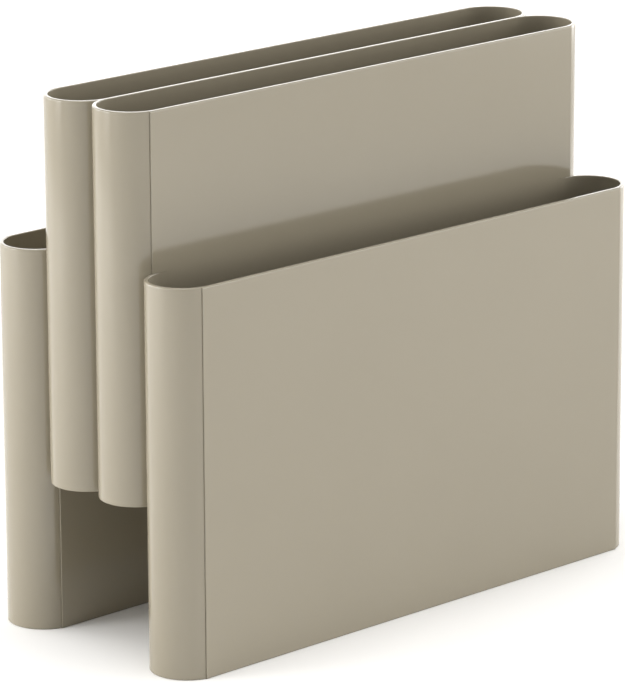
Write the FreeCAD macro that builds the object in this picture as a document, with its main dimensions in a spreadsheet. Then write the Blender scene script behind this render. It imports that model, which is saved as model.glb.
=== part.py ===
"""Four-pocket magazine rack in moulded ABS, as a parametric document in millimetres.

Row frame: +X along the pockets, +Y from the front pocket to the rear one, +Z up, with the origin on the
surface that the rack stands on, under its centre. Four equal pockets stand side by side. The two outer ones
stand on the surface and the two inner ones are lifted. Neighbouring pockets share one flat wall.

Every pocket is made of flat walls, two half-round end shells and a floor. A wall meets an end shell in a
half lap: the wall's outer half covers a tongue on the shell, so the wall's edge shows as a fine step.
"""

import FreeCAD, Part  # noqa: E401  FreeCAD has to be imported first

import math
import os

import Sketcher
from FreeCAD import Placement, Rotation, Vector

# The driving dimensions. Each is one cell of the sheet, under its own name.
SIZES = {
    "pocket_length": 396.0,  # overall, over both rounded ends
    "pocket_pitch": 44.0,  # from the middle of one wall to the middle of the next
    "pocket_height": 242.0,  # from a pocket's lower edge to its rim
    "lift": 98.5,  # how far the inner pockets stand above the outer ones
    "wall": 2.5,
    "floor_thickness": 2.5,
    "ledge_width": 1.5,  # the inward foot that a floor rests on
    "ledge_height": 2.0,
    "tongue_reach": 6.0,  # how far a shell's tongue runs on past the end of its curve
    "seam_reach": 5.7,  # how far a wall's lap runs out over the start of a shell's curve
    "relief_width": 0.3,  # the groove beside the lap's edge that takes the squeezed-out cement
    "bond_gap": 0.1,  # the cement's thickness in the laps and round the floors
    "butt_gap": 0.02,  # between the tip of a tongue and the full-thickness part of a wall
    "rim_round": 0.9,  # along the outside of a rim
    "inner_rim_round": 0.4,  # along its inside
    "foot_round": 0.9,
    "seam_round": 0.3,
}

# Sizes worked out from the driving ones, as expressions that the features are bound to.
END_RADIUS = "((sizes.pocket_pitch + sizes.wall) / 2)"
INNER_RADIUS = "((sizes.pocket_pitch - sizes.wall) / 2)"
END_CENTRE = f"(sizes.pocket_length / 2 - {END_RADIUS})"
TONGUE_PLANE = "((sizes.pocket_pitch - sizes.bond_gap) / 2)"
SHOULDER = f"sqrt({END_RADIUS}^2 - {TONGUE_PLANE}^2)"
SEAM = f"min(sizes.seam_reach; 0.75 * {SHOULDER})"
CHEEK = f"({SEAM} + sizes.relief_width)"
LAP_HALF = f"({END_CENTRE} + {SEAM})"
WEB_HALF = f"({END_CENTRE} - sizes.tongue_reach - sizes.butt_gap)"
LAP_THICKNESS = "((sizes.wall - sizes.bond_gap) / 2)"
RIM_ROUND = f"min(sizes.rim_round; 0.8 * {LAP_THICKNESS})"
INNER_RIM_ROUND = f"min(sizes.inner_rim_round; 0.4 * {LAP_THICKNESS})"
FOOT_ROUND = f"min(sizes.foot_round; 0.8 * {LAP_THICKNESS})"
SEAM_ROUND = f"min(sizes.seam_round; 0.4 * {LAP_THICKNESS})"
TOP = "(sizes.lift + sizes.pocket_height)"

START, END, CENTRE = 1, 2, 3
ORIGIN = (-1, 1)
EDGE_TOLERANCE = 1e-4


def make_sheet(doc):
    """The sheet that holds the driving dimensions, one cell and alias for each."""
    sheet = doc.addObject("Spreadsheet::Sheet", "sizes")
    for row, (name, value) in enumerate(SIZES.items(), start=1):
        sheet.set(f"A{row}", name)
        sheet.set(f"B{row}", str(value))
        sheet.setAlias(f"B{row}", name)
    doc.recompute()
    return sheet


def value_of(expression):
    """An expression's present value, for a sketch's first guess and for finding edges."""
    found = FreeCAD.ActiveDocument.getObject("sizes").evalExpression(expression)
    return float(getattr(found, "Value", found))


def new_body(doc, label):
    body = doc.addObject("PartDesign::Body", label)
    body.Label = label
    return body


def origin_plane(body, role):
    return next(feature for feature in body.Origin.OriginFeatures if feature.Role == role)


def new_sketch(body, name, height="0"):
    """An empty sketch parallel to the body's XY plane, at that height."""
    sketch = body.newObject("Sketcher::SketchObject", f"{body.Name}_{name}")
    sketch.AttachmentSupport = [(origin_plane(body, "XY_Plane"), "")]
    sketch.MapMode = "FlatFace"
    sketch.setExpression("AttachmentOffset.Base.z", height)
    return sketch


def bind(sketch, kind, *where, size):
    """Adds one dimension to a sketch and ties it to an expression."""
    index = sketch.addConstraint(Sketcher.Constraint(kind, *where, value_of(size)))
    sketch.setExpression(f"Constraints[{index}]", size)


def add_outline(sketch, corners):
    """A closed outline of straight lines, through corners given as pairs of expressions."""
    points = [Vector(value_of(x), value_of(y), 0) for x, y in corners]
    count = len(points)
    for i in range(count):
        sketch.addGeometry(Part.LineSegment(points[i], points[(i + 1) % count]), False)
    for i in range(count):
        sketch.addConstraint(Sketcher.Constraint("Coincident", i, END, (i + 1) % count, START))
    for i, (x, y) in enumerate(corners):
        bind(sketch, "DistanceX", *ORIGIN, i, START, size=x)
        bind(sketch, "DistanceY", *ORIGIN, i, START, size=y)


def add_pad(body, name, sketch, length):
    pad = body.newObject("PartDesign::Pad", f"{body.Name}_{name}")
    pad.Profile = sketch
    pad.setExpression("Length", length)
    pad.Refine = True
    sketch.Visibility = False
    body.Document.recompute()
    return pad


def add_slab(body, name, x_half, y_from, y_to, z_from, height):
    """A straight slab, centred along X, from y_from to y_to and up from z_from."""
    sketch = new_sketch(body, f"{name}_outline", z_from)
    low, high = f"-({x_half})", x_half
    add_outline(sketch, [(low, y_from), (high, y_from), (high, y_to), (low, y_to)])
    return add_pad(body, name, sketch, height)


def edges_where(shape, test):
    """The names of the edges whose two ends and middle all pass a test."""
    names = []
    for number, edge in enumerate(shape.Edges, start=1):
        middle = edge.valueAt((edge.FirstParameter + edge.LastParameter) / 2)
        if all(test(point) for point in [middle, *(v.Point for v in edge.Vertexes)]):
            names.append(f"Edge{number}")
    return names


def add_fillet(body, name, test, radius):
    """Rounds the edges of the body's present shape that pass a test."""
    base = body.Tip
    names = edges_where(base.Shape, test)
    if not names:
        raise RuntimeError(f"{body.Label}: no edge found for {name}")
    fillet = body.newObject("PartDesign::Fillet", f"{body.Name}_{name}")
    fillet.Base = (base, names)
    fillet.setExpression("Radius", radius)
    fillet.Refine = True
    body.Document.recompute()
    return fillet


def near(value, expression):
    return abs(value - value_of(expression)) < EDGE_TOLERANCE


def place(body, x="0", y="0", z="0", turned=False):
    """Puts a body in the row frame, turned half round about Z where it is the opposite-hand copy."""
    body.Placement = Placement(Vector(0, 0, 0), Rotation(Vector(0, 0, 1), 180 if turned else 0))
    body.setExpression("Placement.Base.x", x)
    body.setExpression("Placement.Base.y", y)
    body.setExpression("Placement.Base.z", z)


def end_shell_outline(sketch, short_side):
    """A half ring about the sketch's origin, open towards +X and cut flat on both sides.

    A tongue runs on past each end of the ring. On the short side, if there is one, the ring stops in line
    with the wall's edge instead. Half of the outline runs from the outer curve along the flat, down the
    ring's or the tongue's end, and back along its inner face. The other half is the same across the X axis.
    """
    shoulder, plane = value_of(SHOULDER), value_of(TONGUE_PLANE)
    tip, seam = value_of("sizes.tongue_reach"), value_of(SEAM)
    inner = value_of(INNER_RADIUS)
    long_steps = [(-shoulder, plane), (tip, plane), (tip, inner), (0, inner)]
    short_steps = [(-shoulder, plane), (-seam, plane), (-seam, math.sqrt(inner**2 - seam**2))]
    steps = {side: short_steps if side == short_side else long_steps for side in (1, -1)}
    start = math.atan2(plane, -shoulder)
    inner_start, inner_end = (math.atan2(steps[side][-1][1], steps[side][-1][0]) for side in (1, -1))
    outer_circle = Part.Circle(Vector(0, 0, 0), Vector(0, 0, 1), value_of(END_RADIUS))
    inner_circle = Part.Circle(Vector(0, 0, 0), Vector(0, 0, 1), inner)
    outer = sketch.addGeometry(Part.ArcOfCircle(outer_circle, start, 2 * math.pi - start), False)
    bore = sketch.addGeometry(Part.ArcOfCircle(inner_circle, inner_start, 2 * math.pi - inner_end), False)

    def add(kind, *where):
        sketch.addConstraint(Sketcher.Constraint(kind, *where))

    for side, arc_end in ((1, START), (-1, END)):
        points = [Vector(x, side * y, 0) for x, y in steps[side]]
        lines = [
            sketch.addGeometry(Part.LineSegment(a, b), False) for a, b in zip(points[:-1], points[1:])
        ]
        add("Coincident", outer, arc_end, lines[0], START)
        for a, b in zip(lines[:-1], lines[1:]):
            add("Coincident", a, END, b, START)
        add("Coincident", lines[-1], END, bore, arc_end)
        for line in lines[0::2]:
            add("Horizontal", line)
        add("Vertical", lines[1])
        bind(sketch, "DistanceY", *ORIGIN, lines[0], START, size=f"{'' if side > 0 else '-'}{TONGUE_PLANE}")
        if side == short_side:
            bind(sketch, "DistanceX", *ORIGIN, lines[1], START, size=f"-{SEAM}")
        else:
            bind(sketch, "DistanceX", *ORIGIN, lines[1], START, size="sizes.tongue_reach")
            add("Vertical", *ORIGIN, bore, arc_end)
    add("Coincident", outer, CENTRE, *ORIGIN)
    add("Coincident", bore, CENTRE, *ORIGIN)
    bind(sketch, "Radius", outer, size=END_RADIUS)
    bind(sketch, "Radius", bore, size=INNER_RADIUS)


def cheek_outline(sketch, side):
    """The sliver of the outer curve that stands past the flat on one side, as far as the wall's groove."""
    plane, reach, radius = value_of(TONGUE_PLANE), value_of(CHEEK), value_of(END_RADIUS)
    root = Vector(-value_of(SHOULDER), side * plane, 0)
    corner = Vector(-reach, side * plane, 0)
    tip = Vector(-reach, side * math.sqrt(radius**2 - reach**2), 0)
    turns = sorted(math.atan2(point.y, point.x) % (2 * math.pi) for point in (root, tip))
    circle = Part.Circle(Vector(0, 0, 0), Vector(0, 0, 1), radius)
    arc = sketch.addGeometry(Part.ArcOfCircle(circle, *turns), False)
    flat = sketch.addGeometry(Part.LineSegment(root, corner), False)
    end = sketch.addGeometry(Part.LineSegment(corner, tip), False)
    at_root, at_tip = (END, START) if side > 0 else (START, END)
    for where in ((arc, at_root, flat, START), (flat, END, end, START), (end, END, arc, at_tip)):
        sketch.addConstraint(Sketcher.Constraint("Coincident", *where))
    sketch.addConstraint(Sketcher.Constraint("Horizontal", flat))
    sketch.addConstraint(Sketcher.Constraint("Vertical", end))
    sketch.addConstraint(Sketcher.Constraint("Coincident", arc, CENTRE, *ORIGIN))
    bind(sketch, "Radius", arc, size=END_RADIUS)
    bind(sketch, "DistanceX", *ORIGIN, flat, END, size=f"-{CHEEK}")
    bind(sketch, "DistanceY", *ORIGIN, flat, END, size=f"{'' if side > 0 else '-'}{TONGUE_PLANE}")


def short_tongue_outline(sketch, side):
    """The tongue on the short side, from the ring's end along the wall and back to it along the bore."""
    plane, inner = value_of(TONGUE_PLANE), value_of(INNER_RADIUS)
    tip, seam = value_of("sizes.tongue_reach"), value_of(SEAM)
    steps = [(0, inner), (tip, inner), (tip, plane), (-seam, plane), (-seam, math.sqrt(inner**2 - seam**2))]
    points = [Vector(x, side * y, 0) for x, y in steps]
    lines = [sketch.addGeometry(Part.LineSegment(a, b), False) for a, b in zip(points[:-1], points[1:])]
    turns = sorted(math.atan2(point.y, point.x) % (2 * math.pi) for point in (points[0], points[-1]))
    circle = Part.Circle(Vector(0, 0, 0), Vector(0, 0, 1), inner)
    arc = sketch.addGeometry(Part.ArcOfCircle(circle, *turns), False)
    at_first, at_last = (START, END) if side > 0 else (END, START)

    def add(kind, *where):
        sketch.addConstraint(Sketcher.Constraint(kind, *where))

    for a, b in zip(lines[:-1], lines[1:]):
        add("Coincident", a, END, b, START)
    add("Coincident", arc, at_first, lines[0], START)
    add("Coincident", lines[-1], END, arc, at_last)
    add("Coincident", arc, CENTRE, *ORIGIN)
    for line in lines[0::2]:
        add("Horizontal", line)
    for line in lines[1::2]:
        add("Vertical", line)
    add("Vertical", *ORIGIN, arc, at_first)
    bind(sketch, "Radius", arc, size=INNER_RADIUS)
    bind(sketch, "DistanceX", *ORIGIN, lines[1], START, size="sizes.tongue_reach")
    bind(sketch, "DistanceX", *ORIGIN, lines[3], START, size=f"-{SEAM}")
    bind(sketch, "DistanceY", *ORIGIN, lines[2], START, size=f"{'' if side > 0 else '-'}{TONGUE_PLANE}")


def end_ledge_outline(sketch):
    """The strip along the inside of an end shell that its floor rests on."""
    outer = value_of(INNER_RADIUS)
    inner = value_of(f"{INNER_RADIUS} - sizes.ledge_width")
    tip = value_of("sizes.tongue_reach")
    arcs = []
    for radius in (outer, inner):
        circle = Part.Circle(Vector(0, 0, 0), Vector(0, 0, 1), radius)
        arcs.append(sketch.addGeometry(Part.ArcOfCircle(circle, math.pi / 2, 3 * math.pi / 2), False))

    def add(kind, *where):
        sketch.addConstraint(Sketcher.Constraint(kind, *where))

    for side, arc_end in ((1, START), (-1, END)):
        corners = [(0, outer), (tip, outer), (tip, inner), (0, inner)]
        points = [Vector(x, side * y, 0) for x, y in corners]
        lines = [
            sketch.addGeometry(Part.LineSegment(a, b), False) for a, b in zip(points[:-1], points[1:])
        ]
        add("Coincident", arcs[0], arc_end, lines[0], START)
        add("Coincident", lines[0], END, lines[1], START)
        add("Coincident", lines[1], END, lines[2], START)
        add("Coincident", lines[2], END, arcs[1], arc_end)
        add("Horizontal", lines[0])
        add("Vertical", lines[1])
        add("Horizontal", lines[2])
        for arc in arcs:
            add("Vertical", *ORIGIN, arc, arc_end)
        bind(sketch, "DistanceX", *ORIGIN, lines[1], START, size="sizes.tongue_reach")
    for arc, radius in zip(arcs, (INNER_RADIUS, f"({INNER_RADIUS} - sizes.ledge_width)")):
        add("Coincident", arc, CENTRE, *ORIGIN)
        bind(sketch, "Radius", arc, size=radius)


def end_shell(doc, label, cheeks, short_side=0):
    """One half-round end of a pocket, with its tongues, its ledge and its rounded rim and foot.

    Each cheek is given as its side, the height that it starts from and its own height. On the short side the
    rim's rounding ends at the wall's edge, since a taller wall stands flush with the tongue there.
    """
    body = new_body(doc, label)
    height = "sizes.pocket_height"
    sketch = new_sketch(body, "outline")
    end_shell_outline(sketch, short_side)
    add_pad(body, "shell", sketch, height)
    for number, (side, base, rise) in enumerate(cheeks, start=1):
        cheek = new_sketch(body, f"cheek_{number}_outline", base)
        cheek_outline(cheek, side)
        add_pad(body, f"cheek_{number}", cheek, rise)
    plane = value_of(TONGUE_PLANE)
    cheek_end = value_of(CHEEK)
    inner = value_of(INNER_RADIUS)

    def on_outer_curve(p):
        return near(math.hypot(p.x, p.y), END_RADIUS) and p.x < -cheek_end + EDGE_TOLERANCE

    def on_inner_face(p):
        on_curve = near(math.hypot(p.x, p.y), INNER_RADIUS) and p.x < EDGE_TOLERANCE
        on_tongue = abs(abs(p.y) - inner) < EDGE_TOLERANCE and p.x > -EDGE_TOLERANCE
        return (on_curve or on_tongue) and abs(p.y) < plane

    add_fillet(body, "foot", lambda p: on_outer_curve(p) and near(p.z, "0"), FOOT_ROUND)
    add_fillet(body, "rim", lambda p: on_outer_curve(p) and near(p.z, height), RIM_ROUND)
    add_fillet(body, "inner_rim", lambda p: on_inner_face(p) and near(p.z, height), INNER_RIM_ROUND)
    if short_side:
        tongue = new_sketch(body, "short_tongue_outline")
        short_tongue_outline(tongue, short_side)
        add_pad(body, "short_tongue", tongue, height)
    ledge = new_sketch(body, "ledge_outline")
    end_ledge_outline(ledge)
    add_pad(body, "ledge", ledge, "sizes.ledge_height")
    return body


def long_edge(y, z):
    """A test for the edges along X at that y and z."""
    return lambda p: near(p.y, y) and near(p.z, z)


def seam_edge(y):
    """A test for the upright edges at the ends of a lap, on the face at that y."""
    return lambda p: near(abs(p.x), LAP_HALF) and near(p.y, y)


def outer_wall(doc, label):
    """An outermost wall. Its outer half laps over both end shells; its outside faces -Y."""
    body = new_body(doc, label)
    outside, inside = "-sizes.wall / 2", "sizes.wall / 2"
    add_slab(body, "web", WEB_HALF, outside, inside, "0", "sizes.pocket_height")
    add_slab(body, "lap", LAP_HALF, outside, "-sizes.bond_gap / 2", "0", "sizes.pocket_height")
    ledge_edge = "sizes.wall / 2 + sizes.ledge_width"
    add_slab(body, "ledge", WEB_HALF, inside, ledge_edge, "0", "sizes.ledge_height")
    add_fillet(body, "seam", seam_edge(outside), SEAM_ROUND)
    add_fillet(body, "foot", long_edge(outside, "0"), FOOT_ROUND)
    add_fillet(body, "rim", long_edge(outside, "sizes.pocket_height"), RIM_ROUND)
    add_fillet(body, "inner_rim", long_edge(inside, "sizes.pocket_height"), INNER_RIM_ROUND)
    return body


def side_divider(doc, label):
    """The full-height wall that an outer pocket shares with an inner one. The outer pocket is on its -Y side.

    Above the outer pocket it laps over the inner pocket's shells, and below the inner pocket it laps over
    the outer pocket's shells. Between the two, both pockets' tongues meet past its ends.
    """
    body = new_body(doc, label)
    outer_face, inner_face = "-sizes.wall / 2", "sizes.wall / 2"
    upper = "(sizes.pocket_height + sizes.bond_gap)"
    lower_height = "(sizes.lift - sizes.bond_gap)"
    add_slab(body, "web", WEB_HALF, outer_face, inner_face, "0", TOP)
    add_slab(body, "lower_lap", LAP_HALF, "sizes.bond_gap / 2", inner_face, "0", lower_height)
    upper_height = f"{TOP} - {upper}"
    add_slab(body, "upper_lap", LAP_HALF, outer_face, "-sizes.bond_gap / 2", upper, upper_height)
    outer_ledge = "-sizes.wall / 2 - sizes.ledge_width"
    add_slab(body, "outer_ledge", WEB_HALF, outer_ledge, outer_face, "0", "sizes.ledge_height")
    inner_ledge = "sizes.wall / 2 + sizes.ledge_width"
    add_slab(body, "inner_ledge", WEB_HALF, inner_face, inner_ledge, "sizes.lift", "sizes.ledge_height")
    add_fillet(body, "lower_seam", seam_edge(inner_face), SEAM_ROUND)
    add_fillet(body, "upper_seam", seam_edge(outer_face), SEAM_ROUND)
    add_fillet(body, "foot", long_edge(inner_face, "0"), FOOT_ROUND)
    add_fillet(body, "outer_rim", long_edge(outer_face, TOP), RIM_ROUND)
    add_fillet(body, "inner_rim", long_edge(inner_face, TOP), INNER_RIM_ROUND)
    return body


def centre_divider(doc, label):
    """The wall between the two inner pockets, with a ledge on both sides."""
    body = new_body(doc, label)
    front, rear = "-sizes.wall / 2", "sizes.wall / 2"
    add_slab(body, "web", WEB_HALF, front, rear, "0", "sizes.pocket_height")
    spread = "sizes.wall / 2 + sizes.ledge_width"
    add_slab(body, "ledge", WEB_HALF, f"-({spread})", spread, "0", "sizes.ledge_height")
    add_fillet(body, "front_rim", long_edge(front, "sizes.pocket_height"), INNER_RIM_ROUND)
    add_fillet(body, "rear_rim", long_edge(rear, "sizes.pocket_height"), INNER_RIM_ROUND)
    return body


def pocket_floor(doc, label):
    """A pocket's floor: a flat plate with half-round ends that drops onto the ledges."""
    body = new_body(doc, label)
    radius = f"({INNER_RADIUS} - sizes.bond_gap)"
    sketch = new_sketch(body, "outline")
    half = value_of(END_CENTRE)
    r = value_of(radius)
    right = Part.Circle(Vector(half, 0, 0), Vector(0, 0, 1), r)
    left = Part.Circle(Vector(-half, 0, 0), Vector(0, 0, 1), r)
    sketch.addGeometry(Part.ArcOfCircle(right, -math.pi / 2, math.pi / 2), False)
    sketch.addGeometry(Part.LineSegment(Vector(half, r, 0), Vector(-half, r, 0)), False)
    sketch.addGeometry(Part.ArcOfCircle(left, math.pi / 2, 3 * math.pi / 2), False)
    sketch.addGeometry(Part.LineSegment(Vector(-half, -r, 0), Vector(half, -r, 0)), False)
    for i in range(4):
        sketch.addConstraint(Sketcher.Constraint("Tangent", i, END, (i + 1) % 4, START))
    sketch.addConstraint(Sketcher.Constraint("Horizontal", 1))
    sketch.addConstraint(Sketcher.Constraint("Horizontal", *ORIGIN, 0, CENTRE))
    bind(sketch, "DistanceX", *ORIGIN, 0, CENTRE, size=END_CENTRE)
    bind(sketch, "DistanceX", *ORIGIN, 2, CENTRE, size=f"-{END_CENTRE}")
    bind(sketch, "Radius", 0, size=radius)
    add_pad(body, "plate", sketch, "sizes.floor_thickness")
    return body


def build(doc):
    """Makes every sub-part and puts it in its place. Returns the bodies."""
    bodies = []
    pockets = {
        "front_pocket": ("-1.5", "0", -1),
        "inner_front_pocket": ("-0.5", "sizes.lift", -1),
        "inner_rear_pocket": ("0.5", "sizes.lift", 1),
        "rear_pocket": ("1.5", "0", 1),
    }
    below = "sizes.lift - sizes.bond_gap"
    above = "(sizes.pocket_height - sizes.lift + sizes.bond_gap)"
    for pocket, (steps, base, outward) in pockets.items():
        middle = f"{steps} * sizes.pocket_pitch"
        for side, x, turned in (("left", f"-{END_CENTRE}", False), ("right", END_CENTRE, True)):
            out = -outward if turned else outward
            if base == "0":
                cheeks = [(out, "0", "sizes.pocket_height"), (-out, "0", below)]
                shell = end_shell(doc, f"{pocket}_{side}_end", cheeks, short_side=-out)
            else:
                cheeks = [(out, above, f"sizes.pocket_height - {above}")]
                shell = end_shell(doc, f"{pocket}_{side}_end", cheeks)
            place(shell, x=x, y=middle, z=base, turned=turned)
            bodies.append(shell)
        plate = pocket_floor(doc, f"{pocket}_floor")
        place(plate, y=middle, z=f"{base} + sizes.ledge_height + sizes.bond_gap")
        bodies.append(plate)
    for side, sign, turned in (("front", "-", False), ("rear", "", True)):
        wall = outer_wall(doc, f"{side}_outer_wall")
        place(wall, y=f"{sign}2 * sizes.pocket_pitch", turned=turned)
        divider = side_divider(doc, f"{side}_divider")
        place(divider, y=f"{sign}sizes.pocket_pitch", turned=turned)
        bodies += [wall, divider]
    centre = centre_divider(doc, "centre_divider")
    place(centre, z="sizes.lift")
    bodies.append(centre)
    doc.recompute()
    return bodies


def check(doc, bodies):
    """Stops if any object failed to recompute or any sub-part isn't one sound solid."""
    for item in doc.Objects:
        if "Invalid" in item.State or "Error" in item.State:
            raise RuntimeError(f"{item.Label} failed: {item.State}")
    for body in bodies:
        shape = body.Shape
        if shape.isNull() or not shape.isValid() or len(shape.Solids) != 1:
            raise RuntimeError(f"{body.Label} isn't one valid solid")


def export(bodies, folder="parts"):
    os.makedirs(folder, exist_ok=True)
    for body in bodies:
        body.Shape.exportStep(os.path.join(folder, f"{body.Label}.step"))


def main():
    doc = FreeCAD.newDocument("magazine_rack")
    make_sheet(doc)
    bodies = build(doc)
    check(doc, bodies)
    export(bodies)
    for body in bodies:
        box = body.Shape.BoundBox
        print(f"{body.Label}: {box.XLength:.2f} x {box.YLength:.2f} x {box.ZLength:.2f} mm")


main()
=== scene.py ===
"""The looks of a four-pocket magazine rack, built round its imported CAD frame.

Every wall and end shell is worked out again as a finely stepped surface with true rounded rims, on the sizes
that the frame gives, and stands for the CAD node of the same name.
"""

import math

import bpy
import numpy as np
from bpy.props import FloatProperty, FloatVectorProperty, PointerProperty, StringProperty
from mathutils import Matrix, Vector


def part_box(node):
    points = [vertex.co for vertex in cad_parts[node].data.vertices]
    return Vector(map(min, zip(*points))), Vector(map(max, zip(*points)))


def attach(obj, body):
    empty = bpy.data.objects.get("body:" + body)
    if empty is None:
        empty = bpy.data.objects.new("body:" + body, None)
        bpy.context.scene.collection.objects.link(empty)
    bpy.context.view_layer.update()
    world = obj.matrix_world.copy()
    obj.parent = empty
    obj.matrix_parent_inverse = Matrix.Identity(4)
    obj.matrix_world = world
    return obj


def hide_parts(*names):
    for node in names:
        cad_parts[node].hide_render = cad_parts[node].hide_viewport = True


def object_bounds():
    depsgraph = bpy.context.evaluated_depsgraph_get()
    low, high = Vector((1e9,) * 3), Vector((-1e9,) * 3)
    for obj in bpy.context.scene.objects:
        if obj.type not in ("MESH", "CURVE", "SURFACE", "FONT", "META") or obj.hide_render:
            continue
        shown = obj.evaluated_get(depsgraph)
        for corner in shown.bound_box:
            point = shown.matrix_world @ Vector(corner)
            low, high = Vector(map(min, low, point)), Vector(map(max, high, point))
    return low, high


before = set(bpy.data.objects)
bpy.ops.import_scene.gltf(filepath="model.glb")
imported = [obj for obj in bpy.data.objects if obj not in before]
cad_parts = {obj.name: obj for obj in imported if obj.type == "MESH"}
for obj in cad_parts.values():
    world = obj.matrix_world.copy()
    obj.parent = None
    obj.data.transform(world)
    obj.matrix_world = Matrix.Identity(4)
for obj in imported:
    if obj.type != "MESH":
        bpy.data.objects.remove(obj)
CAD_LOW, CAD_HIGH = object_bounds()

bl_info = {
    "name": "Magazine rack",
    "version": (1, 0, 0),
    "blender": (4, 5, 0),
    "location": "View3D > Sidebar > Rack",
    "description": "Builds a magazine rack of four round-ended pockets, and its studio",
    "category": "Add Mesh",
}

MM = 0.001
BODY = "root"
POCKETS = ("front_pocket", "inner_front_pocket", "inner_rear_pocket", "rear_pocket")
SIDES = {"left": -1, "right": 1}
ROUND_STEPS = 7  # faces across a rounded edge
ARC_STEPS = 52  # stations along each half of an end shell's curve
SEAM_STEPS = 4  # faces across the rounding of a wall's upright edge, and across a cheek
SUPPORT = 0.25 * MM  # how far from a rounded edge the flat face's last row stands
SEAM_FADE = 0.75  # how much of a rim's rounding is left where it meets a wall's rounded upright edge
WELD_GRID = 1e7  # steps to the metre of the grid on which points are joined
SHARP_ANGLE = math.radians(35)

# The plastic's patterns: how far each one repeats in metres, and how strong it is.
DRIFT_SPAN = 0.09
POLISH_SPAN = 0.035
POLISH_SPREAD = 0.02
SWELL_SPAN = 0.022
SWELL_STRENGTH = 0.25
SWELL_HEIGHT = 0.06 * MM
ABS_IOR = 1.54
ABS_SPECULAR = 0.6

FLOOR_REACH = 9.0
CLIP_NEAR, CLIP_FAR = 0.05, 60

# The surround's brightness on three rings, at these heights above the horizon in degrees. A ring's values run
# by even steps from the +Y side, by the -X side, the -Y side and the +X side.
SURROUND = {
    6: (2.95, 3.14, 2.22, 0.27, 0.0, 0.0, 1.49, 4.28, 4.83, 4.05, 3.97, 3.36),
    30: (0.63, 1.81, 1.53, 0.89, 0.0, 0.0, 0.0, 0.03, 0.83, 0.89, 0.64, 0.24),
    60: (0.0, 0.18, 1.76, 1.05, 0.86, 1.16, 0.46, 0.0),
}
ZENITH = 5.29
ZENITH_EDGE = 86
# Upright lit cards that stand low round the rack: degrees from -Y towards +X, and brightness.
CARDS = {
    "left_rear": (-145, 3.4),
    "left": (-115, 6.3),
    "left_side": (-85, 1.2),
    "front": (25, 1.04),
    "right_front": (55, 0.83),
    "right": (85, 3.56),
}
CARD_DISTANCE = 1.4
CARD_SIZE = (0.50, 0.70)
CARD_LIFT = 0.09  # from the floor to a card's lower edge


# ------------------------------------------------------------------ sizes read from the frame


def node_box(name):
    """A node's lowest and highest corners as arrays."""
    low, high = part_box(name)
    return np.array(low), np.array(high)


def frame_sizes():
    """The rack's sizes in metres, each worked out from the boxes of the nodes that show it."""
    left_low, left_high = node_box("front_pocket_left_end")
    inner_low, inner_high = node_box("inner_front_pocket_left_end")
    wall_low, wall_high = node_box("front_outer_wall")
    centre_low, centre_high = node_box("centre_divider")
    floor_low, floor_high = node_box("front_pocket_floor")
    raised_low, raised_high = node_box("inner_front_pocket_floor")
    pitch = (raised_low[1] + raised_high[1] - floor_low[1] - floor_high[1]) / 2
    wall = (CAD_HIGH[1] - CAD_LOW[1]) - 4 * pitch
    bond = -2 * inner_high[1]
    radius = (pitch + wall) / 2
    end_centre = -left_low[0] - radius
    return {
        "end_centre": end_centre,
        "pitch": pitch,
        "wall": wall,
        "bond": bond,
        "height": left_high[2] - left_low[2],
        "lift": inner_low[2],
        "lap_half": wall_high[0],
        "cheek": math.sqrt(radius**2 - ((left_high[1] - left_low[1]) / 2) ** 2),
        "web_half": centre_high[0],
        "tongue": left_high[0] + end_centre,
        "ledge_width": (centre_high[1] - centre_low[1] - wall) / 2,
        "ledge_height": floor_low[2] - bond,
        "floor_thickness": floor_high[2] - floor_low[2],
    }


DEFAULTS = frame_sizes()


def length(name, description, default):
    """A size in metres that the sidebar shows as a length."""
    return FloatProperty(
        name=name, description=description, default=float(default), min=0.0, unit="LENGTH", precision=5
    )


def colour(name, description, default):
    """A colour that is kept as its sRGB hex value."""
    return StringProperty(name=name, description=description, default=default)


class RackSizes(bpy.types.PropertyGroup):
    """The rack's sizes. Their defaults are the frame's."""

    end_centre: length("End centre", "From the middle to the centre of a rounded end", DEFAULTS["end_centre"])
    pitch: length("Pocket pitch", "From one wall's middle to the next wall's", DEFAULTS["pitch"])
    wall: length("Wall", "Thickness of every wall", DEFAULTS["wall"])
    bond: length("Bond", "Thickness of the cement between two pieces", DEFAULTS["bond"])
    height: length("Pocket height", "From a pocket's lower edge to its rim", DEFAULTS["height"])
    lift: length("Lift", "How far the inner pockets are raised", DEFAULTS["lift"])
    lap_half: length("Lap end", "From the middle to a wall's visible edge", DEFAULTS["lap_half"])
    cheek: length("Cheek end", "From an end's centre to the groove, where its curve stops", DEFAULTS["cheek"])
    web_half: length("Web end", "From the middle to the end of a wall's full thickness", DEFAULTS["web_half"])
    tongue: length("Tongue", "How far a shell's tongue runs past its curve", DEFAULTS["tongue"])
    ledge_width: length("Ledge width", "How far a ledge stands out", DEFAULTS["ledge_width"])
    ledge_height: length("Ledge height", "Height of a ledge under a floor", DEFAULTS["ledge_height"])
    floor_thickness: length("Floor", "Thickness of a pocket's floor", DEFAULTS["floor_thickness"])
    rim_round: length("Rim round", "Radius along the outside of the rims and along the lower edges", 0.9 * MM)
    inner_round: length("Inner rim round", "Radius along the inside of the rims", 0.4 * MM)
    seam_round: length("Seam round", "Radius of a wall's upright edge", 0.3 * MM)


class RackFinish(bpy.types.PropertyGroup):
    """The colours and gloss of the plastic."""

    shell: colour("Shell colour", "The moulded plastic's own colour", "#918977")
    shade: colour("Shade colour", "The same plastic where its pigment lies a little denser", "#8e8674")
    roughness: FloatProperty(
        name="Roughness", description="How blurred reflections are", default=0.12, min=0.0, max=1.0
    )


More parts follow.
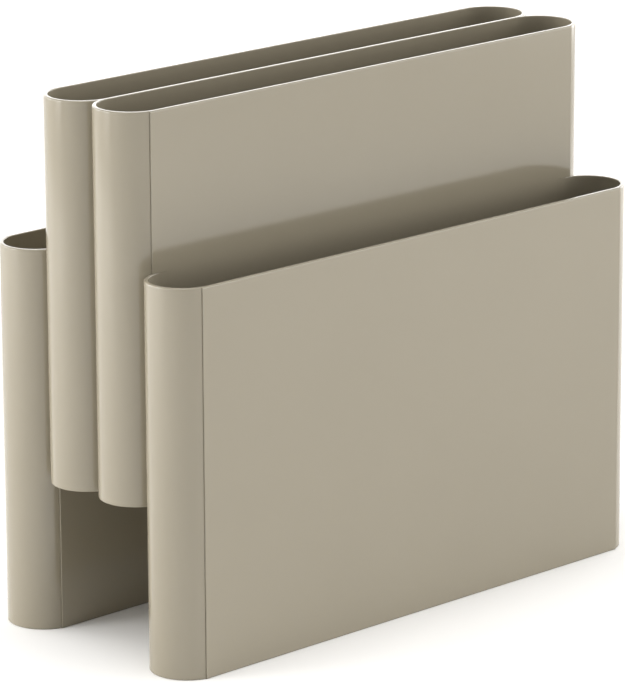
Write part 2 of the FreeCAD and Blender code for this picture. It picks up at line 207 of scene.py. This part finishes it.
class RackStage(bpy.types.PropertyGroup):
    """The camera and the studio."""

    lens: FloatProperty(name="Lens", description="Focal length", default=239.835, unit="CAMERA")
    location: FloatVectorProperty(
        name="Camera",
        description="Where the camera stands",
        default=(-1.92092, -2.00144, 0.91425),
        subtype="XYZ",
    )
    heading: FloatProperty(
        name="Heading", description="Turn to the right of +Y", default=math.radians(43.7265), subtype="ANGLE"
    )
    tilt: FloatProperty(
        name="Tilt", description="How far it looks down", default=math.radians(15.2751), subtype="ANGLE"
    )
    roll: FloatProperty(
        name="Roll", description="Turn about its own view", default=math.radians(-0.2586), subtype="ANGLE"
    )
    floor: colour("Floor colour", "The studio floor", "#f4f3f1")


# ------------------------------------------------------------------ surfaces


def weld(points, quads):
    """Joins points that lie in one place, and drops faces with no area and unused points."""
    places = np.round(points * WELD_GRID).astype(np.int64)
    _, first, joined = np.unique(places, axis=0, return_index=True, return_inverse=True)
    points, quads = points[first], joined.reshape(-1)[quads]
    faces = []
    for quad in quads:
        corners = [int(c) for i, c in enumerate(quad) if c != quad[i - 1]]
        if len(set(corners)) > 2:
            faces.append(corners)
    used = np.unique(np.concatenate([np.array(f) for f in faces]))
    renumber = np.full(len(points), -1)
    renumber[used] = np.arange(len(used))
    return points[used], [[int(renumber[c]) for c in f] for f in faces]


def block_faces(filled):
    """The faces between filled and empty cells of a block of cells, as quads of grid point numbers.

    A face is set wherever two neighbouring cells along one of the grid's three directions differ, and its
    corners run so that it faces the empty one.
    """
    shape = np.array(filled.shape) + 1
    number = np.arange(shape.prod()).reshape(shape)
    padded = np.pad(filled, 1)
    quads = []
    for axis in range(3):
        across = [a for a in range(3) if a != axis]
        cells = np.moveaxis(padded, [axis, *across], [0, 1, 2])
        corners = np.moveaxis(number, [axis, *across], [0, 1, 2])
        inner = cells[:, 1:-1, 1:-1]
        step = inner[1:].astype(int) - inner[:-1].astype(int)
        for sign in (1, -1):
            i, j, k = np.nonzero(step == sign)
            ring = ((0, 0), (1, 0), (1, 1), (0, 1))
            quad = np.stack([corners[i, j + right, k + up] for right, up in ring], 1)
            forward = (sign < 0) != (axis == 1)
            quads.append(quad if forward else quad[:, ::-1])
    return np.concatenate(quads)


def signed_volume(points, faces):
    """Six times the volume inside the faces, above zero when they face outwards."""
    total = 0.0
    for face in faces:
        a = points[face[0]]
        for second, third in zip(face[1:-1], face[2:]):
            total += float(np.dot(a, np.cross(points[second], points[third])))
    return total


def solid_from_cells(name, across, heights, filled):
    """A closed solid: a grid's filled cells, its points at across[i, j, k] in plan and heights[k] up."""
    upright = np.broadcast_to(heights[None, None, :, None], (*across.shape[:3], 1))
    points = np.concatenate([across, upright], 3).reshape(-1, 3)
    points, faces = weld(points, block_faces(filled))
    if signed_volume(points, faces) < 0:
        faces = [face[::-1] for face in faces]
    mesh = bpy.data.meshes.new(name)
    mesh.from_pydata(points, [], faces)
    if mesh.validate(verbose=False):
        raise RuntimeError(f"{name}: the mesh had faulty faces")
    mesh.shade_smooth()
    mesh.set_sharp_from_angle(angle=SHARP_ANGLE)
    piece = bpy.data.objects.new(name, mesh)
    bpy.context.scene.collection.objects.link(piece)
    return piece


def upright_steps(sizes, low, high, others=()):
    """Heights for a piece: quarter-circle steps at both ends, a row close to each, and any others given."""
    turn = np.linspace(0, math.pi / 2, ROUND_STEPS + 1)
    radius, inner = sizes.rim_round, sizes.inner_round
    lower = low + radius * (1 - np.cos(turn))
    upper = high - radius * (1 - np.cos(turn))
    inner_upper = high - inner * (1 - np.cos(turn[::2]))
    rows = [lower, upper, inner_upper, [low + radius + SUPPORT, high - radius - SUPPORT], others]
    return np.unique(np.round(np.concatenate(rows), 6))


def inset_at(heights, edge, radius):
    """How far a face is drawn in at each height to round an edge: r - sqrt(r^2 - (r - d)^2) at distance d."""
    away = np.clip(radius - np.abs(heights - edge), 0, radius)
    return radius - np.sqrt(np.maximum(radius**2 - away**2, 0))


def cell_mask(values, low, high):
    """Which cells between neighbouring values lie from low to high."""
    middle = (values[1:] + values[:-1]) / 2
    return (middle > low) & (middle < high)


def flat_wall(name, sizes, y, base, top, facing, laps, ledges, foot=0):
    """A wall along X: a full-thickness web, thin laps past its ends, and ledges.

    Its plan is x against the distance across the wall. The laps and ledges are cells filled or left empty.
    Near a lap's upright edge both faces are drawn in by a quarter circle, as they are along the rim, where a
    wall with laps has the larger radius on its outer side.
    facing is -1 where the wall's outer side looks to -Y. A lap is (side, low, high) and a ledge (side, low),
    with side -1 on the outer side. foot is the side whose lower edge is rounded, or 0.
    """
    half, gap, out = sizes.wall / 2, sizes.bond / 2, sizes.wall / 2 + sizes.ledge_width
    across = np.array([-out, -half, -gap, gap, half, out])
    turn = np.linspace(0, math.pi / 2, SEAM_STEPS + 1)
    edge = sizes.lap_half - sizes.seam_round * (1 - np.cos(turn))
    beyond = np.concatenate([edge, [sizes.lap_half - sizes.seam_round - SUPPORT, sizes.web_half]])
    x = np.unique(np.round(np.concatenate([-beyond, beyond, np.linspace(-0.9, 0.9, 10) * sizes.web_half]), 9))
    levels = [z for _, low, high in laps for z in (low, high)]
    levels += [z for _, low in ledges for z in (low, low + sizes.ledge_height)]
    heights = upright_steps(sizes, base, top, levels)

    inset = np.zeros((len(across), len(heights)))
    inset[1] = inset_at(heights, top, sizes.rim_round if laps else sizes.inner_round)
    inset[4] = inset_at(heights, top, sizes.inner_round)
    if foot:
        inset[1 if foot < 0 else 4] += inset_at(heights, base, sizes.rim_round)
    seam = inset_at(np.abs(x), sizes.lap_half, sizes.seam_round)

    web = cell_mask(x, -sizes.web_half, sizes.web_half)
    lap = cell_mask(x, -sizes.lap_half, sizes.lap_half)
    filled = np.zeros((len(x) - 1, len(across) - 1, len(heights) - 1), bool)
    filled[:, 1:4] |= web[:, None, None] & cell_mask(heights, base, top)[None, None, :]
    for side, low, high in laps:
        filled[:, 1 if side < 0 else 3] |= lap[:, None] & cell_mask(heights, low, high)[None, :]
    for side, low in ledges:
        rows = cell_mask(heights, low, low + sizes.ledge_height)
        filled[:, 0 if side < 0 else 4] |= web[:, None] & rows[None, :]

    plan = np.zeros((len(x), len(across), 2))
    plan[:, :, 0] = x[:, None]
    plan[:, :, 1] = across[None, :]
    plan[:, 1, 1] += seam
    plan[:, 4, 1] -= seam
    pull = np.zeros_like(plan)
    pull[:, 1, 1] = np.where(seam > 0, SEAM_FADE, 1.0)
    pull[:, 4, 1] = -np.where(seam > 0, SEAM_FADE, 1.0)
    for grid in (plan, pull):
        grid[:, :, 1] *= -facing
    plan[:, :, 1] += y
    across = plan[:, :, None, :] + pull[:, :, None, :] * inset[None, :, :, None]
    return solid_from_cells(name, across, heights, filled)


def shell_half(sizes, heights, base, open_top, open_foot, short):
    """Half of an end shell about its curve's centre, opening to +X, as four layers of points across its wall.

    The stations run along the tongue to the wall's edge, across the groove and round a quarter turn. The
    first layer is the outer circle, drawn in by the rims' quarter circles; the second is the same but never
    past the tongue's flat, y = min(y, flat); the third is the inner circle with its rim, and the last the
    ledge's edge. Where the half isn't open at the top or the foot, that rounding fades out over the cheek.
    On the short half the inner rim is only as wide as the rim that shows beside the taller wall.
    """
    outer, inner = (sizes.pitch + sizes.wall) / 2, (sizes.pitch - sizes.wall) / 2
    flat = (sizes.pitch - sizes.bond) / 2
    shoulder = math.sqrt(outer**2 - flat**2)
    seam = sizes.lap_half - sizes.end_centre
    tongue = np.concatenate([np.linspace(sizes.tongue, 0, 5), np.linspace(0, -seam, 9)[1:]])
    first, root = math.acos(-sizes.cheek / outer), math.acos(-shoulder / outer)
    cheek_turn = np.linspace(first, root, SEAM_STEPS + 1)[:-1]
    turn = np.concatenate([cheek_turn, np.linspace(root, math.pi, ARC_STEPS + 1)])
    circle = np.stack([np.cos(turn), np.sin(turn)], 1)
    inner_turn = np.linspace(math.acos(-sizes.cheek / inner), math.pi, len(turn))

    top = inset_at(heights, base + sizes.height, sizes.rim_round)
    inner_top = inset_at(heights, base + sizes.height, sizes.inner_round)
    foot = inset_at(heights, base, sizes.rim_round)
    past_cheek = np.clip((-outer * circle[:, 0] - sizes.cheek) / (shoulder - sizes.cheek), 0, 1)[:, None]
    drawn = top * (1 if open_top else past_cheek) + foot * (1 if open_foot else past_cheek)
    reach = outer - np.broadcast_to(drawn, (len(turn), len(heights)))
    curve = reach[:, :, None] * circle[:, None, :]
    straight = np.stack(np.broadcast_arrays(tongue[:, None], np.full(len(heights), flat)), 2)
    first_layer = np.concatenate([straight, curve])
    second_layer = np.stack([first_layer[..., 0], np.minimum(first_layer[..., 1], flat)], 2)

    normal_x = np.minimum(tongue, 0) / inner
    normals = np.stack([normal_x, np.sqrt(1 - normal_x**2)], 1)
    normals = np.concatenate([normals, np.stack([np.cos(inner_turn), np.sin(inner_turn)], 1)])
    start = np.zeros_like(normals)
    start[: len(tongue), 0] = np.maximum(tongue, 0)
    shown = (inner - inner * normals[:, 1]) / sizes.inner_round
    shown = np.clip(shown, 0, 1) if short else np.ones(len(normals))
    bore = inner + shown[:, None] * inner_top[None, :]
    third_layer = start[:, None] + bore[:, :, None] * normals[:, None]
    ledge = np.full_like(bore, inner - sizes.ledge_width)
    last_layer = start[:, None] + ledge[:, :, None] * normals[:, None]
    return np.stack([first_layer, second_layer, third_layer, last_layer], 1)


def end_shell(name, sizes, side, y, base, cheeks, short=0):
    """One rounded end, from its two halves. A cheek is (way, low, high), with way its side along Y.

    On a cheek the outer circle runs on past the tongue's flat as far as the groove beside the wall's edge.
    """
    limits = [z for _, low, high in cheeks for z in (low, high)]
    heights = upright_steps(sizes, base, base + sizes.height, [base + sizes.ledge_height, *limits])
    halves, masks = [], []
    for way in (1, -1):
        open_top = any(w == way and high > base + sizes.height - MM for w, _, high in cheeks)
        open_foot = any(w == way and low < base + MM for w, low, _ in cheeks)
        half = shell_half(sizes, heights, base, open_top, open_foot, way == short)
        mask = np.zeros((len(half) - 1, 3, len(heights) - 1), bool)
        mask[:, 1] = True
        mask[:, 2] = cell_mask(heights, base, base + sizes.ledge_height)[None, :]
        for w, low, high in cheeks:
            if w == way:
                mask[-ARC_STEPS - SEAM_STEPS : -ARC_STEPS, 0] |= cell_mask(heights, low, high)[None, :]
        halves.append(half * np.array([1, way]))
        masks.append(mask)
    across = np.concatenate([halves[0], halves[1][-2::-1]])
    filled = np.concatenate([masks[0], masks[1][::-1]])
    across = across * np.array([-side, 1]) + np.array([side * sizes.end_centre, y])
    return solid_from_cells(name, across, heights, filled)


def pocket_floor(name, sizes, y, base):
    """A pocket's floor: x runs to the end centre and on by r sin(a), and its half-width is r cos(a)."""
    radius = (sizes.pitch - sizes.wall) / 2 - sizes.bond
    angle = np.linspace(0, math.pi / 2, 33)
    x = sizes.end_centre + radius * np.sin(angle)
    width = radius * np.cos(angle)
    x, width = np.concatenate([-x[::-1], x]), np.concatenate([width[::-1], width])
    plan = np.stack([np.stack([x, y - width], 1), np.stack([x, y + width], 1)], 1)
    low = base + sizes.ledge_height + sizes.bond
    heights = np.array([low, low + sizes.floor_thickness])
    filled = np.ones((len(x) - 1, 1, 1), bool)
    across = np.repeat(plan[:, :, None, :], 2, axis=2)
    return solid_from_cells(name, across, heights, filled)


# ------------------------------------------------------------------ materials


def linear(hex_value):
    """An sRGB hex value as linear red, green, blue and alpha."""
    parts = [int(hex_value[i : i + 2], 16) / 255 for i in (1, 3, 5)]
    return (*[p / 12.92 if p <= 0.04045 else ((p + 0.055) / 1.055) ** 2.4 for p in parts], 1.0)


def add_node(tree, kind, inputs=None, **settings):
    """Adds a node, sets its properties and inputs, and links any input given as an output socket."""
    node = tree.nodes.new(kind)
    for name, value in settings.items():
        setattr(node, name, value)
    for name, value in (inputs or {}).items():
        if isinstance(value, bpy.types.NodeSocket):
            tree.links.new(value, node.inputs[name])
        else:
            node.inputs[name].default_value = value
    return node


def moulded_gloss_abs(finish):
    """Moulded gloss ABS: a dense opaque pigment under a polished skin that mirrors softly.

    The polished tool leaves a faint long swell in the skin, so reflections waver by a hair, and the pigment
    drifts very slightly in shade over a hand's width.
    """
    material = bpy.data.materials.new("moulded_gloss_abs")
    material.use_nodes = True
    tree = material.node_tree
    tree.nodes.clear()
    place = add_node(tree, "ShaderNodeTexCoord").outputs["Object"]
    drift = add_node(tree, "ShaderNodeTexNoise", {"Vector": place, "Scale": 1 / DRIFT_SPAN, "Detail": 2.0})
    shade = add_node(
        tree,
        "ShaderNodeMix",
        {"Factor": drift.outputs["Fac"], "A": linear(finish.shell), "B": linear(finish.shade)},
        data_type="RGBA",
    )
    polish = add_node(tree, "ShaderNodeTexNoise", {"Vector": place, "Scale": 1 / POLISH_SPAN, "Detail": 3.0})
    low, high = finish.roughness - POLISH_SPREAD, finish.roughness + POLISH_SPREAD
    roughness = add_node(
        tree, "ShaderNodeMapRange", {"Value": polish.outputs["Fac"], "To Min": low, "To Max": high}
    )
    swell = add_node(tree, "ShaderNodeTexNoise", {"Vector": place, "Scale": 1 / SWELL_SPAN, "Detail": 1.0})
    bump = add_node(
        tree,
        "ShaderNodeBump",
        {"Height": swell.outputs["Fac"], "Strength": SWELL_STRENGTH, "Distance": SWELL_HEIGHT},
    )
    shader = add_node(
        tree,
        "ShaderNodeBsdfPrincipled",
        {
            "Base Color": shade.outputs["Result"],
            "Roughness": roughness.outputs["Result"],
            "Normal": bump.outputs["Normal"],
            "IOR": ABS_IOR,
            "Specular IOR Level": ABS_SPECULAR,
        },
    )
    add_node(tree, "ShaderNodeOutputMaterial", {"Surface": shader.outputs["BSDF"]})
    return material


def plain_floor_paint(stage):
    """Matt studio paint: one pale tone with no gloss to speak of."""
    material = bpy.data.materials.new("matt_studio_paint")
    material.use_nodes = True
    shader = material.node_tree.nodes["Principled BSDF"]
    shader.inputs["Base Color"].default_value = linear(stage.floor)
    shader.inputs["Roughness"].default_value = 0.9
    shader.inputs["Specular IOR Level"].default_value = 0.1
    return material


def shell_material(context):
    """The rack's one plastic, made at its first use."""
    return bpy.data.materials.get("moulded_gloss_abs") or moulded_gloss_abs(context.scene.rack_finish)


def finish_piece(piece, node, material):
    """Gives a new piece its material and slot, rides it on the rack, and stands it in for its node."""
    piece.data.materials.append(material)
    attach(piece, BODY)
    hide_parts(node)
    return piece


# ------------------------------------------------------------------ operators


class RACK_OT_end_shells(bpy.types.Operator):
    """Builds the rounded ends of all the pockets"""

    bl_idname = "rack.end_shells"
    bl_label = "End shells"

    def execute(self, context):
        sizes = context.scene.rack_sizes
        for place, pocket in enumerate(POCKETS):
            y = (place - 1.5) * sizes.pitch
            raised = place in (1, 2)
            base = sizes.lift if raised else 0.0
            out = -1 if place < 2 else 1
            if raised:
                cheeks, short = [(out, sizes.height + sizes.bond, base + sizes.height)], 0
            else:
                cheeks, short = [(out, 0.0, sizes.height), (-out, 0.0, sizes.lift - sizes.bond)], -out
            for word, side in SIDES.items():
                node = f"{pocket}_{word}_end"
                piece = end_shell(f"{node}_shell", sizes, side, y, base, cheeks, short)
                finish_piece(piece, node, shell_material(context))
        return {"FINISHED"}


class RACK_OT_outer_walls(bpy.types.Operator):
    """Builds the flat front and rear walls of the rack"""

    bl_idname = "rack.outer_walls"
    bl_label = "Outer walls"

    def execute(self, context):
        sizes = context.scene.rack_sizes
        for node, facing in (("front_outer_wall", -1), ("rear_outer_wall", 1)):
            lap = (-1, 0.0, sizes.height)
            y = facing * 2 * sizes.pitch
            piece = flat_wall(f"{node}_panel", sizes, y, 0.0, sizes.height, facing, [lap], [(1, 0.0)], -1)
            finish_piece(piece, node, shell_material(context))
        return {"FINISHED"}


class RACK_OT_dividers(bpy.types.Operator):
    """Builds the walls that neighbouring pockets share"""

    bl_idname = "rack.dividers"
    bl_label = "Dividers"

    def execute(self, context):
        sizes = context.scene.rack_sizes
        top = sizes.lift + sizes.height
        laps = [(1, 0.0, sizes.lift - sizes.bond), (-1, sizes.height + sizes.bond, top)]
        ledges = [(-1, 0.0), (1, sizes.lift)]
        for node, facing in (("front_divider", -1), ("rear_divider", 1)):
            piece = flat_wall(f"{node}_panel", sizes, facing * sizes.pitch, 0.0, top, facing, laps, ledges, 1)
            finish_piece(piece, node, shell_material(context))
        both = [(-1, sizes.lift), (1, sizes.lift)]
        piece = flat_wall("centre_divider_panel", sizes, 0.0, sizes.lift, top, -1, [], both)
        finish_piece(piece, "centre_divider", shell_material(context))
        return {"FINISHED"}


class RACK_OT_floors(bpy.types.Operator):
    """Builds the floor of each pocket"""

    bl_idname = "rack.floors"
    bl_label = "Pocket floors"

    def execute(self, context):
        sizes = context.scene.rack_sizes
        for place, pocket in enumerate(POCKETS):
            base = sizes.lift if place in (1, 2) else 0.0
            piece = pocket_floor(f"{pocket}_floor_plate", sizes, (place - 1.5) * sizes.pitch, base)
            finish_piece(piece, f"{pocket}_floor", shell_material(context))
        return {"FINISHED"}


def lit_card(name, azimuth, brightness):
    """An upright lit card that faces the rack. Its power is pi times its area times its brightness."""
    width, height = CARD_SIZE
    light = bpy.data.lights.new(name, "AREA")
    light.shape = "RECTANGLE"
    light.size, light.size_y = width, height
    light.energy = math.pi * width * height * brightness
    card = bpy.data.objects.new(name, light)
    turn = math.radians(azimuth)
    away = Vector((math.sin(turn), -math.cos(turn), 0)) * CARD_DISTANCE
    card.location = away + Vector((0, 0, CARD_LIFT + height / 2))
    card.rotation_euler = (-away).to_track_quat("-Z", "Y").to_euler()
    bpy.context.scene.collection.objects.link(card)
    return card


def surround_ring(tree, turn, row):
    """The brightness round one ring of the surround, in straight runs from each value to the next."""
    peak = max(row)
    ramp = add_node(tree, "ShaderNodeValToRGB", {"Fac": turn})
    stops = ramp.color_ramp.elements
    for place in range(1, len(row)):
        stops.new(place / len(row))
    for stop, value in zip(stops, (*row, row[0])):
        stop.color = (value / peak, value / peak, value / peak, 1.0)
    scaled = add_node(tree, "ShaderNodeMath", {0: ramp.outputs["Color"], 1: peak}, operation="MULTIPLY")
    return scaled.outputs[0]


def studio_world():
    """A soft surround whose brightness runs from ring to ring, and from the last one to the zenith."""
    world = bpy.data.worlds.new("studio")
    world.use_nodes = True
    tree = world.node_tree
    ray = add_node(tree, "ShaderNodeTexCoord").outputs["Generated"]
    axes = add_node(tree, "ShaderNodeSeparateXYZ", {0: ray}).outputs
    behind = add_node(tree, "ShaderNodeMath", {0: axes["Y"], 1: -1.0}, operation="MULTIPLY").outputs[0]
    azimuth = add_node(tree, "ShaderNodeMath", {0: axes["X"], 1: behind}, operation="ARCTAN2").outputs[0]
    turn = add_node(
        tree, "ShaderNodeMapRange", {"Value": azimuth, "From Min": -math.pi, "From Max": math.pi}
    ).outputs[0]
    rise = add_node(tree, "ShaderNodeMath", {0: axes["Z"]}, operation="ARCSINE").outputs[0]
    heights = [*SURROUND, ZENITH_EDGE]
    levels = [surround_ring(tree, turn, row) for row in SURROUND.values()] + [ZENITH]
    brightness = levels[0]
    for low, high, level in zip(heights[:-1], heights[1:], levels[1:]):
        limits = {"Value": rise, "From Min": math.radians(low), "From Max": math.radians(high)}
        share = add_node(tree, "ShaderNodeMapRange", limits).outputs[0]
        brightness = add_node(
            tree, "ShaderNodeMix", {"Factor": share, "A": brightness, "B": level}, data_type="FLOAT"
        ).outputs[0]
    tree.links.new(brightness, tree.nodes["Background"].inputs["Strength"])
    tree.nodes["Background"].inputs["Color"].default_value = (1.0, 1.0, 1.0, 1.0)
    bpy.context.scene.world = world


class RACK_OT_stage(bpy.types.Operator):
    """Sets up the floor, the lights and the camera"""

    bl_idname = "rack.stage"
    bl_label = "Studio"

    def execute(self, context):
        stage = context.scene.rack_stage
        mesh = bpy.data.meshes.new("studio_floor")
        corners = [(x * FLOOR_REACH, y * FLOOR_REACH, 0) for x, y in ((-1, -1), (1, -1), (1, 1), (-1, 1))]
        mesh.from_pydata(corners, [], [(0, 1, 2, 3)])
        mesh.materials.append(plain_floor_paint(stage))
        floor = bpy.data.objects.new("studio_floor", mesh)
        context.scene.collection.objects.link(floor)
        studio_world()
        for name, (azimuth, brightness) in CARDS.items():
            lit_card(f"{name}_card", azimuth, brightness)

        camera = bpy.data.cameras.new("camera")
        camera.lens = stage.lens
        camera.clip_start, camera.clip_end = CLIP_NEAR, CLIP_FAR
        heading, tilt, roll = stage.heading, stage.tilt, stage.roll
        flat_view = Vector((math.sin(heading), math.cos(heading), 0))
        view = flat_view * math.cos(tilt) - Vector((0, 0, math.sin(tilt)))
        right = Vector((math.cos(heading), -math.sin(heading), 0))
        up = right.cross(view)
        turned_right = math.cos(roll) * right + math.sin(roll) * up
        turned_up = math.cos(roll) * up - math.sin(roll) * right
        axes = Matrix((turned_right, turned_up, -view)).transposed().to_4x4()
        stand = bpy.data.objects.new("camera", camera)
        stand.matrix_world = Matrix.Translation(Vector(stage.location)) @ axes
        context.scene.collection.objects.link(stand)
        context.scene.camera = stand
        context.scene.view_settings.view_transform = "Standard"
        return {"FINISHED"}


class RACK_PT_panel(bpy.types.Panel):
    """The rack's operators in the 3D view's sidebar"""

    bl_idname = "RACK_PT_panel"
    bl_label = "Magazine rack"
    bl_space_type = "VIEW_3D"
    bl_region_type = "UI"
    bl_category = "Rack"

    def draw(self, context):
        for operator in OPERATORS:
            self.layout.operator(operator.bl_idname)


OPERATORS = (RACK_OT_end_shells, RACK_OT_outer_walls, RACK_OT_dividers, RACK_OT_floors, RACK_OT_stage)
GROUPS = {"rack_sizes": RackSizes, "rack_finish": RackFinish, "rack_stage": RackStage}


def register():
    for kind in (*GROUPS.values(), *OPERATORS, RACK_PT_panel):
        bpy.utils.register_class(kind)
    for name, group in GROUPS.items():
        setattr(bpy.types.Scene, name, PointerProperty(type=group))


def unregister():
    for name in GROUPS:
        delattr(bpy.types.Scene, name)
    for kind in reversed((*GROUPS.values(), *OPERATORS, RACK_PT_panel)):
        bpy.utils.unregister_class(kind)


def main():
    register()
    bpy.ops.rack.end_shells()
    bpy.ops.rack.outer_walls()
    bpy.ops.rack.dividers()
    bpy.ops.rack.floors()
    bpy.ops.rack.stage()


if __name__ == "__main__":
    main()
